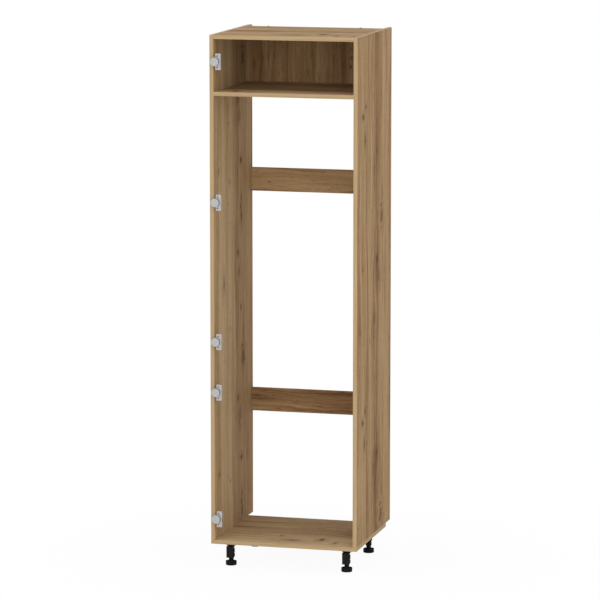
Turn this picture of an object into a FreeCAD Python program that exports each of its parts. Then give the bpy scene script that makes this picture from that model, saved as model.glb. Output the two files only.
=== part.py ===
"""Tall housing cabinet for a built-in fridge: boards, concealed hinges and levelling legs."""
import FreeCAD, Part
import math
import os

V = FreeCAD.Vector

# Boards, in millimetres. The floor is Z = 0 and the cabinet's front looks along -Y.
width = 600.0
height = 2140.0
side_depth = 566.0
inner_depth = 491.0
bottom_depth = 495.0
board = 16.0
band = 0.8
leg_height = 100.0
upper_clear = 208.0
rail_height = 96.0
lower_rail_z = 547.0
upper_rail_z = 1461.0

# Doors that the hinges are set out for
lower_door = 718.0
door_top_gap = 3.0
hinge_end_distance = 102.0

# Concealed hinge: cup and flange
cup_r = 17.5
cup_depth = 12.0
cup_wall = 1.0
cup_offset = 6.5
door_gap = 1.5
rim_width = 0.8
cup_corner = 1.6
cup_notch_clear = 0.75
flange_width = 22.0
flange_height = 64.5
flange_t = 1.1
flange_start = 1.9
flange_corner = 2.0
flange_hole_r = 3.0
flange_hole_x = 9.5
flange_hole_spacing = 45.0
flange_sink_r = 4.6
flange_sink_depth = 0.7

# Concealed hinge: links, pins and arm
pin_r = 1.25
pin_clear = 0.05
layer_gap = 0.25
inner_link_t = 5.2
lug_t = 1.6
outer_link_t = 1.5
ear_t = 1.2
link_r = 2.4
ear_r = 2.9
cup_pin_c_wall = 5.6
cup_pin_c_drop = 7.5
cup_pin_d_wall = 5.7
cup_pin_d_drop = 2.7
arm_pin_a_wall = 8.8
arm_pin_a_y = -4.05
arm_pin_b_wall = 2.6
arm_pin_b_y = 3.7
slot_play = 0.6
slot_in = 2.7
slot_out = 0.6
slot_wall = 1.1
arm_t = 1.4
arm_width = 19.5
arm_foot_x = 9.0
arm_neck_y = 10.0
arm_body_y = 24.0
arm_body_x = 17.0
arm_body_foot_x = 5.0
arm_rear_y = 58.0
arm_bend = 1.0
arm_inner_bend = 0.2
plate_y = 37.0
plate_base_t = 2.4
plate_wing_height = 52.0
plate_wing_width = 22.0
plate_wing_corner = 6.6
plate_length = 31.0
plate_front_y = 25.0
plate_rail_corner = 2.5
plate_slide = 0.25
plate_screw_spacing = 32.0
plate_screw_r = 3.1
plate_screw_head_r = 4.4
plate_screw_length = 12.5
plate_screw_head_t = 1.8
adjust_screw_y = 31.0
clamp_screw_y = 46.0
arm_screw_r = 2.5
arm_screw_head_r = 4.0
arm_screw_head_t = 1.2
arm_screw_length = 14.0
driver_slot = 1.0
driver_depth = 0.8
driver_reach = 0.6

# Knock-down fittings of the boards
fit_clear = 0.05
hole_end_gap = 0.5
dowel_r = 4.0
dowel_in_face = 11.5
dowel_in_end = 18.5
cam_r = 7.5
cam_t = 12.0
cam_distance = 34.0
cam_sink = 0.2
bolt_thread_r = 2.5
bolt_thread_length = 11.0
bolt_shank_r = 3.0
bolt_neck_r = 1.9
bolt_head_r = 3.1
bolt_head_length = 5.0
bolt_hole_r = 3.5
cam_mouth_gap = 0.3
fitting_front = 60.0
fitting_rear = 60.0
fitting_pitch = 32.0
rail_fitting_edge = 32.0
screw_thread_r = 2.5
screw_shank_r = 3.4
screw_head_r = 4.8
screw_head_t = 3.0
screw_socket_depth = 1.5
screw_in_edge = 34.0
back_screw_x = 192.0
cap_r = 4.6
cap_t = 2.0
cap_crown = 0.8

# Levelling legs
leg_side_inset = 60.0
leg_front_inset = 82.0
leg_rear_inset = 49.0
socket_plate_t = 6.0
socket_plate_width = 64.0
socket_plate_corner = 10.0
socket_r = 19.5
socket_throat_r = 14.2
socket_bottom_z = 75.0
socket_cone_height = 8.0
leg_screw_inset = 8.0
leg_screw_r = 1.9
leg_screw_head_r = 3.6
leg_screw_head_t = 2.2
leg_screw_length = 12.0
sleeve_r = 12.2
sleeve_bottom_z = 29.0
collar_r = 14.6
collar_bottom_z = 50.0
collar_height = 19.0
collar_bevel = 1.5
collar_grooves = 12
groove_r = 1.2
groove_offset = 0.6
neck_r = 12.0
stem_r = 10.0
stem_top_z = 64.0
slide_clear = 0.1
foot_r = 22.0
foot_height = 16.0
foot_base_t = 4.0
foot_rim_t = 2.6
foot_hub_r = 12.5
foot_hub_height = 19.0
foot_ribs = 8
foot_rib_t = 2.0
foot_rib_drop = 2.5
foot_rib_root = 1.0
foot_grips = 8
foot_grip_r = 2.2
foot_grip_offset = 0.66
foot_edge = 1.5
foot_travel_up = 8.0

# Plinth clips on the front legs
clip_plate_width = 28.0
clip_plate_t = 2.4
clip_plate_bottom_z = 32.0
clip_plate_height = 47.0
clip_plate_gap = 20.0
clip_arm_t = 2.6
clip_arm_bottom_z = 35.0
clip_arm_height = 12.0
clip_mouth = 17.0
clip_neck_width = 12.0
clip_rib_t = 2.0
clip_rib_depth = 1.6

# Places that follow from the sizes above
inner_x = width / 2 - board
side_mid_x = width / 2 - board / 2
floor_top = leg_height + board
top_under = height - board
shelf_top = top_under - upper_clear
shelf_under = shelf_top - board
cup_front = door_gap + cup_depth
front = -(side_depth - cup_front) / 2
rear = front + side_depth
inner_rear = front + inner_depth
bottom_rear = front + bottom_depth
board_front = front + band
back_front = inner_rear - board
door_split = leg_height + lower_door
upper_door_top = height - door_top_gap
upper_door_mid = (door_split + upper_door_top) / 2
hinge_heights = [
    leg_height + hinge_end_distance,
    door_split - hinge_end_distance,
    door_split + hinge_end_distance,
    upper_door_mid,
    upper_door_top - hinge_end_distance,
]


def box(x0, x1, y0, y1, z0, z1):
    return Part.makeBox(x1 - x0, y1 - y0, z1 - z0, V(x0, y0, z0))


def rod(point, axis, radius, length):
    return Part.makeCylinder(radius, length, V(*point), V(*axis))


def along(point, axis, distance):
    return tuple(p + a * distance for p, a in zip(point, axis))


def reverse(axis):
    return tuple(-a for a in axis)


def union(shapes):
    return shapes[0].multiFuse(shapes[1:]).removeSplitter()


def plate(points, z0, z1):
    """A flat plate with a polygon outline in XY, from z0 to z1."""
    corners = [V(x, y, z0) for x, y in points]
    return Part.Face(Part.makePolygon(corners + corners[:1])).extrude(V(0, 0, z1 - z0))


def capsule(p, q, radius, z0, z1):
    """A link plate with round ends about p and q, from z0 to z1."""
    a = V(p[0], p[1], z0)
    b = V(q[0], q[1], z0)
    along_link = (b - a).normalize() * radius
    across = V(-along_link.y, along_link.x, 0)
    edges = [
        Part.LineSegment(a + across, b + across).toShape(),
        Part.Arc(b + across, b + along_link, b - across).toShape(),
        Part.LineSegment(b - across, a - across).toShape(),
        Part.Arc(a - across, a - along_link, a + across).toShape(),
    ]
    return Part.Face(Part.Wire(edges)).extrude(V(0, 0, z1 - z0))


def both_halves(make, z0, z1):
    """The same plate above and below the hinge's middle plane."""
    return [make(z0, z1), make(-z1, -z0)]


def turned(profile):
    """A solid of revolution about Z from (radius, height) points."""
    corners = [V(r, 0, z) for r, z in profile]
    face = Part.Face(Part.makePolygon(corners + corners[:1]))
    return face.revolve(V(0, 0, 0), V(0, 0, 1), 360)


def rounded_plate(x0, x1, y0, y1, z0, z1, radius):
    """A flat plate in XY with its four upright edges rounded."""
    solid = box(x0, x1, y0, y1, z0, z1)
    upright = [e for e in solid.Edges if abs(e.tangentAt(e.FirstParameter).z) > 0.9]
    return solid.makeFillet(radius, upright)


def placed(shape, x, y, z):
    copy = shape.copy()
    copy.translate(V(x, y, z))
    return copy


def save(name, solids):
    shape = solids[0] if len(solids) == 1 else Part.makeCompound(solids)
    shape.exportStep(os.path.join("parts", name + ".step"))


# Boards, and the holes that the fittings drill in them
side_top = height - band
bottom_end = width / 2 - band
boards = {
    "side_panel_left": box(-width / 2, -inner_x, board_front, rear, floor_top, side_top),
    "side_panel_right": box(inner_x, width / 2, board_front, rear, floor_top, side_top),
    "bottom_panel": box(-bottom_end, bottom_end, board_front, bottom_rear, leg_height, floor_top),
    "top_panel": box(-inner_x, inner_x, board_front, inner_rear, top_under, height),
    "fixed_shelf": box(-inner_x, inner_x, board_front, inner_rear, shelf_under, shelf_top),
    "back_panel": box(-inner_x, inner_x, back_front, inner_rear, shelf_top, top_under),
    "lower_rear_rail": box(-inner_x, inner_x, rear - board, rear, lower_rail_z, lower_rail_z + rail_height),
    "upper_rear_rail": box(-inner_x, inner_x, rear - board, rear, upper_rail_z, upper_rail_z + rail_height),
}
holes = {name: [] for name in boards}
fittings = {name: [] for name in ("dowels", "cam_housings", "cam_bolts", "bottom_screws", "back_panel_screws")}


def edge_bands():
    """Plastic strips on the boards' front edges, on the sides' top ends and on the ends of the bottom."""
    solids = []
    for x0, x1 in ((-width / 2, -inner_x), (inner_x, width / 2)):
        solids.append(box(x0, x1, front, board_front, floor_top, height))
        solids.append(box(x0, x1, board_front, rear, side_top, height))
    for x0, x1 in ((-width / 2, -bottom_end), (bottom_end, width / 2)):
        solids.append(box(x0, x1, board_front, bottom_rear, leg_height, floor_top))
    solids.append(box(-width / 2, width / 2, front, board_front, leg_height, floor_top))
    for z0 in (top_under, shelf_under):
        solids.append(box(-inner_x, inner_x, front, board_front, z0, z0 + board))
    return solids


def drill(name, point, axis, radius, depth):
    holes[name].append(rod(point, axis, radius + fit_clear, depth))


def add_dowel(face_board, end_board, point, axis):
    """A dowel that crosses the joint at point, with axis pointing into the board whose end it enters."""
    back = reverse(axis)
    start = along(point, back, dowel_in_face)
    fittings["dowels"].append(rod(start, axis, dowel_r, dowel_in_face + dowel_in_end))
    drill(face_board, point, back, dowel_r, dowel_in_face + hole_end_gap)
    drill(end_board, point, axis, dowel_r, dowel_in_end + hole_end_gap)


def driver_cross(centre, face_axis, arm_length, depth):
    """Two crossed slots for a driver, sunk from a face whose outward normal is face_axis."""
    length = depth * 2
    turn = FreeCAD.Rotation(V(0, 0, 1), V(*face_axis))
    half = driver_slot / 2
    bars = [box(-arm_length, arm_length, -half, half, -length / 2, length / 2)]
    bars.append(box(-half, half, -arm_length, arm_length, -length / 2, length / 2))
    cross = union(bars)
    cross.Placement = FreeCAD.Placement(V(*centre), turn)
    return cross


def add_cam(side, name, point, axis, face_axis):
    """A cam in the board's face that draws a bolt, screwed into the side, along axis."""
    back = reverse(axis)
    centre = along(point, axis, cam_distance)
    head_start = cam_distance - bolt_head_length / 2
    shank = cam_distance - cam_r - hole_end_gap
    bolt = [
        rod(along(point, back, bolt_thread_length), axis, bolt_thread_r, bolt_thread_length),
        rod(point, axis, bolt_shank_r, shank),
        rod(along(point, axis, shank), axis, bolt_neck_r, head_start - shank),
        rod(along(point, axis, head_start), axis, bolt_head_r, bolt_head_length),
    ]
    fittings["cam_bolts"].append(union(bolt))
    drill(side, point, back, bolt_thread_r, bolt_thread_length + hole_end_gap)
    drill(name, point, axis, bolt_hole_r, cam_distance)
    mouth = along(centre, face_axis, board / 2)
    inward = reverse(face_axis)
    drill(name, mouth, inward, cam_r, cam_sink + cam_t + hole_end_gap)
    face = along(mouth, inward, cam_sink)
    cam = rod(face, inward, cam_r, cam_t)
    throat = along(centre, back, cam_r + hole_end_gap)
    throat_length = cam_r + bolt_head_length / 2 + hole_end_gap * 2
    cam = cam.cut(rod(throat, axis, bolt_head_r + cam_mouth_gap, throat_length))
    fittings["cam_housings"].append(cam.cut(driver_cross(face, face_axis, cam_r * driver_reach, driver_depth)))


def add_screw(group, through, into, point, axis, head_sink):
    """A connecting screw whose head lies head_sink under the face at point."""
    head = along(point, axis, head_sink)
    under_head = along(head, axis, screw_head_t)
    joint = along(point, axis, board)
    shank = board - head_sink - screw_head_t
    screw = union([
        rod(head, axis, screw_head_r, screw_head_t),
        rod(under_head, axis, screw_shank_r, shank),
        rod(joint, axis, screw_thread_r, screw_in_edge),
    ])
    socket = driver_cross(head, reverse(axis), screw_head_r * driver_reach, screw_socket_depth)
    fittings[group].append(screw.cut(socket))
    drill(through, point, axis, screw_head_r, head_sink + screw_head_t)
    drill(through, point, axis, screw_shank_r, board)
    drill(into, joint, axis, screw_thread_r, screw_in_edge + hole_end_gap)


def join_to_sides():
    """Cams and dowels at both ends of the top, the shelf and the rails."""
    for sign, side in ((-1, "side_panel_left"), (1, "side_panel_right")):
        inward = (-sign, 0, 0)
        end_x = sign * inner_x
        for name, under in (("top_panel", top_under), ("fixed_shelf", shelf_under)):
            middle = under + board / 2
            front_cam = front + fitting_front
            rear_cam = back_front - fitting_rear
            for y in (front_cam, rear_cam):
                add_cam(side, name, (end_x, y, middle), inward, (0, 0, -1))
            for y in (front_cam + fitting_pitch, rear_cam - fitting_pitch):
                add_dowel(side, name, (end_x, y, middle), inward)
        for name, under in (("lower_rear_rail", lower_rail_z), ("upper_rear_rail", upper_rail_z)):
            middle = rear - board / 2
            cam_z = under + rail_height - rail_fitting_edge
            add_cam(side, name, (end_x, middle, cam_z), inward, (0, 1, 0))
            add_dowel(side, name, (end_x, middle, under + rail_fitting_edge), inward)


def join_bottom():
    """Screws and dowels from the bottom board up into the sides."""
    for sign, side in ((-1, "side_panel_left"), (1, "side_panel_right")):
        x = sign * side_mid_x
        spots = [front + fitting_front, (front + bottom_rear) / 2, bottom_rear - fitting_rear]
        for y in spots:
            add_screw("bottom_screws", "bottom_panel", side, (x, y, leg_height), (0, 0, 1), 0.0)
        for y in ((spots[0] + spots[1]) / 2, (spots[1] + spots[2]) / 2):
            add_dowel("bottom_panel", side, (x, y, floor_top), (0, 0, 1))


def join_back():
    """The back board hangs on two screws through the top and stands on two dowels in the shelf."""
    middle = inner_rear - board / 2
    caps = []
    for x in (-back_screw_x, back_screw_x):
        add_screw("back_panel_screws", "top_panel", "back_panel", (x, middle, height), (0, 0, -1), 0.0)
        add_dowel("fixed_shelf", "back_panel", (x, middle, shelf_top), (0, 0, 1))
        crown = cap_r - cap_crown
        dome = turned([(0, 0), (cap_r, 0), (cap_r, cap_t - cap_crown), (crown, cap_t), (0, cap_t)])
        caps.append(placed(dome, x, middle, height))
    return caps


# Concealed hinge. Its own frame has x from the side's inner face, y from the carcass front, z from its middle.
mouth_r = cup_r - cup_wall
cup_y = -door_gap
pin_a = (cup_offset + mouth_r - arm_pin_a_wall, arm_pin_a_y)
pin_b = (cup_offset + mouth_r - arm_pin_b_wall, arm_pin_b_y)
pin_c = (cup_offset - mouth_r + cup_pin_c_wall, cup_y - cup_pin_c_drop)
pin_d = (cup_offset - mouth_r + cup_pin_d_wall, cup_y - cup_pin_d_drop)
inner_link_half = inner_link_t / 2
lug_in = inner_link_half + layer_gap
lug_out = lug_in + lug_t
outer_in = lug_out + layer_gap
outer_out = outer_in + outer_link_t
ear_in = outer_out + layer_gap
ear_out = ear_in + ear_t
arm_out = arm_width / 2
arm_in = arm_out - arm_t
web_x = pin_b[0] + ear_r
plate_top_x = arm_body_x - arm_t
plate_half = arm_in - plate_slide
pin_hole_r = pin_r + pin_clear


def pin(centre, z0, z1, radius=pin_r):
    return rod((centre[0], centre[1], z0), (0, 0, 1), radius, z1 - z0)


def wall_chord(point, radius):
    """Half the height of the cup's circle where a pin at point crosses it."""
    return math.sqrt(radius ** 2 - (point[0] - cup_offset) ** 2)


def hinge_cup():
    """Pressed cup with its flange, two lugs for the inner link's pin and a notch for the open links."""
    floor = cup_y - cup_depth
    inside = floor + cup_wall
    shell = rod((cup_offset, floor, 0), (0, 1, 0), cup_r, cup_depth)
    shell = shell.makeFillet(cup_corner, [e for e in shell.Edges if e.BoundBox.YMax < floor + 0.01])
    rim = rod((cup_offset, cup_y, 0), (0, 1, 0), cup_r + rim_width, flange_t)
    x0 = cup_offset + flange_start
    half = flange_height / 2
    flange = rounded_plate(x0, x0 + flange_width, -half, half, 0, flange_t, flange_corner)
    flange.rotate(V(0, 0, 0), V(1, 0, 0), -90)
    flange.translate(V(0, cup_y, 0))
    body = union([shell, rim, flange])
    hollow = rod((cup_offset, inside, 0), (0, 1, 0), mouth_r, cup_depth + flange_t)
    body = body.cut(hollow)
    cutters = []
    for sign in (-1, 1):
        centre = (cup_offset + flange_hole_x, cup_y, sign * flange_hole_spacing / 2)
        cutters.append(rod(centre, (0, 1, 0), flange_hole_r, flange_t))
        sink = V(*along(centre, (0, 1, 0), flange_t - flange_sink_depth))
        cutters.append(Part.makeCone(flange_hole_r, flange_sink_r, flange_sink_depth, sink, V(0, 1, 0)))
        chord = wall_chord(pin_c, cup_r)
        cutters.append(pin(pin_c, -chord, chord, pin_hole_r))
    left = cup_offset - cup_r - rim_width
    notch_z = ear_out + cup_notch_clear
    cutters.append(box(left, left + cup_wall + rim_width + link_r, floor + cup_corner, cup_y + flange_t,
                       -notch_z, notch_z))
    lug_foot = (pin_d[0], inside)
    lugs = both_halves(lambda z0, z1: capsule(pin_d, lug_foot, link_r, z0, z1), lug_in, lug_out)
    inner_space = rod((cup_offset, floor, 0), (0, 1, 0), cup_r - cup_wall / 2, cup_depth + flange_t)
    lugs = [lug.common(inner_space) for lug in lugs]
    body = union([body.cut(cutters)] + lugs)
    return body.cut(pin(pin_d, -lug_out, lug_out, pin_hole_r))


def hinge_cup_pins():
    """Two stub pins from the cup's wall to the outer link, and the inner link's pin between the lugs."""
    reach = wall_chord(pin_c, mouth_r) + cup_wall / 2
    stubs = both_halves(lambda z0, z1: pin(pin_c, z0, z1), outer_in, reach)
    return stubs + [pin(pin_d, -lug_out, lug_out)]


def hinge_arm_pins():
    """Two stub pins between the ears and the outer link, and the inner link's pin through both ears."""
    stubs = both_halves(lambda z0, z1: pin(pin_a, z0, z1), outer_in, ear_out)
    return stubs + [pin(pin_b, -ear_out, ear_out)]


def hinge_outer_link():
    """A pair of link plates between the arm's front pin and the cup's deep pin."""
    holes_in_plate = [pin(spot, -ear_out, ear_out, pin_hole_r) for spot in (pin_a, pin_c)]
    plates = both_halves(lambda z0, z1: capsule(pin_a, pin_c, link_r, z0, z1), outer_in, outer_out)
    return [solid.cut(holes_in_plate) for solid in plates]


def hinge_inner_link():
    """A block link from the arm's rear pin, with a slotted eye round the cup's shallow pin."""
    reach = math.hypot(pin_d[0] - pin_b[0], pin_d[1] - pin_b[1])
    unit = ((pin_d[0] - pin_b[0]) / reach, (pin_d[1] - pin_b[1]) / reach)
    slot_from = (pin_b[0] + unit[0] * (reach - slot_in), pin_b[1] + unit[1] * (reach - slot_in))
    slot_to = (pin_b[0] + unit[0] * (reach + slot_out), pin_b[1] + unit[1] * (reach + slot_out))
    slot_r = pin_r + slot_play
    half = inner_link_half
    stem = capsule(pin_b, slot_to, link_r, -half, half)
    eye = capsule(slot_from, slot_to, slot_r + slot_wall, -half, half)
    slot = capsule(slot_from, slot_to, slot_r, -half, half)
    return union([stem, eye]).cut([slot, pin(pin_b, -half, half, pin_hole_r)])


def arm_section(y, foot_x, top_x, half, bend):
    """Cross-section of the hinge arm at y: a box from foot_x to top_x with its two upper corners rounded."""
    def spot(x, z):
        return V(x, y, z)

    corner = bend * (1 - math.sqrt(0.5))
    edges = [
        Part.LineSegment(spot(foot_x, -half), spot(top_x - bend, -half)),
        Part.Arc(spot(top_x - bend, -half), spot(top_x - corner, -half + corner), spot(top_x, -half + bend)),
        Part.LineSegment(spot(top_x, -half + bend), spot(top_x, half - bend)),
        Part.Arc(spot(top_x, half - bend), spot(top_x - corner, half - corner), spot(top_x - bend, half)),
        Part.LineSegment(spot(top_x - bend, half), spot(foot_x, half)),
        Part.LineSegment(spot(foot_x, half), spot(foot_x, -half)),
    ]
    return Part.Wire([edge.toShape() for edge in edges])


def hinge_arm():
    """Folded channel: ears in the cup, a neck that slopes down and widens, and a body on the mounting plate."""
    web_front = pin_b[1] + ear_r
    ear_outline = [pin_a, (web_x, pin_b[1]), (web_x, arm_neck_y), (arm_foot_x, arm_neck_y)]
    ear_outline.append((pin_a[0] - ear_r, pin_a[1]))

    def ear(z0, z1):
        return union([capsule(pin_a, pin_b, ear_r, z0, z1), plate(ear_outline, z0, z1)])

    def block(ear_half, body_half, lower, bend):
        """The arm as a lofted block, narrow at the ears and wide along the body, moved down by lower."""
        stations = [
            (web_front, arm_foot_x, web_x, ear_half),
            (arm_neck_y, arm_foot_x, web_x, ear_half),
            (arm_body_y, arm_body_foot_x, arm_body_x, body_half),
            (arm_rear_y, arm_body_foot_x, arm_body_x, body_half),
        ]
        wires = [arm_section(y, foot - lower, top - lower, half, bend) for y, foot, top, half in stations]
        return Part.makeLoft(wires, True, True)

    channel = block(ear_out, arm_out, 0.0, arm_bend).cut(block(ear_in, arm_in, arm_t, arm_inner_bend))
    arm = union([channel] + both_halves(ear, ear_in, ear_out))
    cutters = [pin(pin_a, -ear_out, ear_out, pin_hole_r), pin(pin_b, -ear_out, ear_out, pin_hole_r)]
    web_under = (arm_body_x - arm_t, 0, 0)
    for y in (adjust_screw_y, clamp_screw_y):
        cutters.append(rod(along(web_under, (0, 1, 0), y), (1, 0, 0), arm_screw_r + fit_clear, arm_t))
    open_slot = arm_screw_r + fit_clear
    cutters.append(box(arm_body_x - arm_t, arm_body_x, clamp_screw_y, arm_rear_y, -open_slot, open_slot))
    return arm.cut(cutters)


def plate_screw_spots():
    return [(0.0, plate_y, sign * plate_screw_spacing / 2) for sign in (-1, 1)]


def hinge_mounting_plate():
    """Cross-shaped plate on the side: two screwed wings and the rail that the arm rides on."""
    half = plate_wing_height / 2
    wing = rounded_plate(plate_y - plate_wing_width / 2, plate_y + plate_wing_width / 2, -half, half,
                         0, plate_base_t, plate_wing_corner)
    rail = rounded_plate(plate_front_y, plate_front_y + plate_length, -plate_half, plate_half,
                         0, plate_top_x, plate_rail_corner)
    body = union([wing, rail])
    body.Placement = FreeCAD.Placement(V(0, 0, 0), FreeCAD.Rotation(V(0, 1, 0), V(0, 0, 1), V(1, 0, 0), "XYZ"))
    cutters = []
    for spot in plate_screw_spots():
        cutters.append(rod(spot, (1, 0, 0), plate_screw_r + fit_clear, plate_base_t))
        seat = along(spot, (1, 0, 0), plate_base_t - plate_screw_head_t)
        cutters.append(rod(seat, (1, 0, 0), plate_screw_head_r + fit_clear, plate_screw_head_t))
    depth = arm_screw_length - arm_t + hole_end_gap
    for y in (adjust_screw_y, clamp_screw_y):
        cutters.append(rod((plate_top_x, y, 0), (-1, 0, 0), arm_screw_r + fit_clear, depth))
    return body.cut(cutters)


def hinge_plate_screws():
    screws = []
    for spot in plate_screw_spots():
        seat = along(spot, (1, 0, 0), plate_base_t - plate_screw_head_t)
        head = rod(seat, (1, 0, 0), plate_screw_head_r, plate_screw_head_t)
        thread = rod(along(spot, (-1, 0, 0), plate_screw_length), (1, 0, 0), plate_screw_r,
                     plate_screw_length + plate_base_t - plate_screw_head_t)
        face = along(seat, (1, 0, 0), plate_screw_head_t)
        cross = driver_cross(face, (1, 0, 0), plate_screw_head_r * driver_reach, driver_depth)
        screws.append(union([thread, head]).cut(cross))
    return screws


def hinge_arm_screws():
    """The side adjusting screw in front and the clamping screw behind it."""
    screws = []
    for y in (adjust_screw_y, clamp_screw_y):
        thread = rod((arm_body_x - arm_screw_length, y, 0), (1, 0, 0), arm_screw_r, arm_screw_length)
        head = rod((arm_body_x, y, 0), (1, 0, 0), arm_screw_head_r, arm_screw_head_t)
        face = (arm_body_x + arm_screw_head_t, y, 0)
        cross = driver_cross(face, (1, 0, 0), arm_screw_head_r * driver_reach, driver_depth)
        screws.append(union([thread, head]).cut(cross))
    return screws


def build_hinges():
    per_hinge = {
        "arm": [hinge_arm()],
        "outer_link": hinge_outer_link(),
        "inner_link": [hinge_inner_link()],
        "cup": [hinge_cup()],
        "cup_pins": hinge_cup_pins(),
    }
    fixed = {
        "hinge_mounting_plates": [hinge_mounting_plate()],
        "hinge_arm_pins": hinge_arm_pins(),
        "hinge_plate_screws": hinge_plate_screws(),
        "hinge_arm_screws": hinge_arm_screws(),
    }
    groups = {name: [] for name in fixed}
    for number, z in enumerate(hinge_heights, start=1):
        for piece, solids in per_hinge.items():
            save(f"hinge_{number}_{piece}", [placed(s, -inner_x, front, z) for s in solids])
        for name, solids in fixed.items():
            groups[name] += [placed(s, -inner_x, front, z) for s in solids]
        for spot in plate_screw_spots():
            point = (spot[0] - inner_x, spot[1] + front, spot[2] + z)
            drill("side_panel_left", point, (-1, 0, 0), plate_screw_r, plate_screw_length + hole_end_gap)
    for name, solids in groups.items():
        save(name, solids)


# Levelling legs, each about its own axis with Z from the floor
socket_plate_z = leg_height - socket_plate_t
bore_r = stem_r + slide_clear
socket_bore_r = neck_r + fit_clear


def leg_screw_spots():
    reach = socket_plate_width / 2 - leg_screw_inset
    return [(x, y) for x in (-reach, reach) for y in (-reach, reach)]


def leg_socket():
    """Screw-on socket with a flared skirt that the column plugs into."""
    half = socket_plate_width / 2
    flange = rounded_plate(-half, half, -half, half, socket_plate_z, leg_height, socket_plate_corner)
    cone_top = socket_bottom_z + socket_cone_height
    skirt = turned([
        (socket_bore_r, socket_bottom_z),
        (socket_throat_r, socket_bottom_z),
        (socket_r, cone_top),
        (socket_r, socket_plate_z),
        (socket_bore_r, socket_plate_z),
    ])
    holes_in_flange = []
    for x, y in leg_screw_spots():
        holes_in_flange.append(rod((x, y, socket_plate_z), (0, 0, 1), leg_screw_r + fit_clear, socket_plate_t))
    return union([flange, skirt]).cut(holes_in_flange)


def leg_column():
    """Sleeve with a gripped collar and a neck that plugs into the socket; the foot's stem runs in its bore."""
    collar_top = collar_bottom_z + collar_height
    stem_room = stem_top_z + foot_travel_up + hole_end_gap
    column = turned([
        (0, stem_room),
        (bore_r, stem_room),
        (bore_r, sleeve_bottom_z),
        (sleeve_r, sleeve_bottom_z),
        (sleeve_r, collar_bottom_z),
        (collar_r, collar_bottom_z + collar_bevel),
        (collar_r, collar_top - collar_bevel),
        (neck_r, collar_top),
        (neck_r, socket_plate_z - fit_clear),
        (0, socket_plate_z - fit_clear),
    ])
    grooves = []
    for i in range(collar_grooves):
        turn = 2 * math.pi * i / collar_grooves
        reach = collar_r + groove_offset
        centre = (reach * math.cos(turn), reach * math.sin(turn), collar_bottom_z)
        grooves.append(rod(centre, (0, 0, 1), groove_r, collar_height))
    return column.cut(grooves)


def leg_foot():
    """Ribbed dish with gripped rim and the stem that slides in the column."""
    dish = turned([
        (0, 0),
        (foot_r - foot_edge, 0),
        (foot_r, foot_edge),
        (foot_r, foot_height),
        (foot_r - foot_rim_t, foot_height),
        (foot_r - foot_rim_t, foot_base_t),
        (foot_hub_r, foot_base_t),
        (foot_hub_r, foot_hub_height),
        (stem_r, foot_hub_height),
        (stem_r, stem_top_z),
        (0, stem_top_z),
    ])
    ribs = []
    for i in range(foot_ribs):
        rib = box(foot_hub_r - foot_rib_root, foot_r - foot_rim_t / 2, -foot_rib_t / 2, foot_rib_t / 2,
                  foot_base_t / 2, foot_height - foot_rib_drop)
        rib.rotate(V(0, 0, 0), V(0, 0, 1), 360.0 * i / foot_ribs)
        ribs.append(rib)
    grips = []
    for i in range(foot_grips):
        turn = 2 * math.pi * (i + 0.5) / foot_grips
        reach = foot_r + foot_grip_offset
        centre = (reach * math.cos(turn), reach * math.sin(turn), 0)
        grips.append(rod(centre, (0, 0, 1), foot_grip_r, foot_height))
    return union([dish] + ribs).cut(grips)


def leg_screws():
    screws = []
    for x, y in leg_screw_spots():
        head = rod((x, y, socket_plate_z - leg_screw_head_t), (0, 0, 1), leg_screw_head_r, leg_screw_head_t)
        thread = rod((x, y, socket_plate_z), (0, 0, 1), leg_screw_r, socket_plate_t + leg_screw_length)
        face = (x, y, socket_plate_z - leg_screw_head_t)
        cross = driver_cross(face, (0, 0, -1), leg_screw_head_r * driver_reach, driver_depth)
        screws.append(union([head, thread]).cut(cross))
    return screws


def plinth_clip():
    """Plate for the plinth board, with two spring arms that grip the sleeve."""
    ring_in = sleeve_r + slide_clear
    ring_out = ring_in + clip_arm_t
    z0 = clip_arm_bottom_z
    ring = rod((0, 0, z0), (0, 0, 1), ring_out, clip_arm_height)
    plate_back = -clip_plate_gap
    half = clip_plate_width / 2
    neck = box(-clip_neck_width / 2, clip_neck_width / 2, plate_back, 0, z0, z0 + clip_arm_height)
    body = union([ring, neck])
    body = body.cut([
        rod((0, 0, z0), (0, 0, 1), ring_in, clip_arm_height),
        box(-clip_mouth / 2, clip_mouth / 2, 0, ring_out, z0, z0 + clip_arm_height),
    ])
    top = clip_plate_bottom_z + clip_plate_height
    face = box(-half, half, plate_back - clip_plate_t, plate_back, clip_plate_bottom_z, top)
    ribs = []
    for x in (-half, half - clip_rib_t):
        ribs.append(box(x, x + clip_rib_t, plate_back, plate_back + clip_rib_depth, clip_plate_bottom_z, top))
    return union([body, face] + ribs)


def build_legs():
    socket = leg_socket()
    column = leg_column()
    foot = leg_foot()
    screws = leg_screws()
    clip = plinth_clip()
    all_screws = []
    leg_x = width / 2 - leg_side_inset
    for depth_name, y in (("front", front + leg_front_inset), ("rear", bottom_rear - leg_rear_inset)):
        for side_name, x in (("left", -leg_x), ("right", leg_x)):
            place = f"{depth_name}_{side_name}"
            save(f"leg_{place}_socket", [placed(socket, x, y, 0)])
            save(f"leg_{place}_column", [placed(column, x, y, 0)])
            save(f"leg_{place}_foot", [placed(foot, x, y, 0)])
            all_screws += [placed(s, x, y, 0) for s in screws]
            for sx, sy in leg_screw_spots():
                depth = leg_screw_length + hole_end_gap
                drill("bottom_panel", (x + sx, y + sy, leg_height), (0, 0, 1), leg_screw_r, depth)
            if depth_name == "front":
                save(f"plinth_clip_{side_name}", [placed(clip, x, y, 0)])
    save("leg_screws", all_screws)


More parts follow.
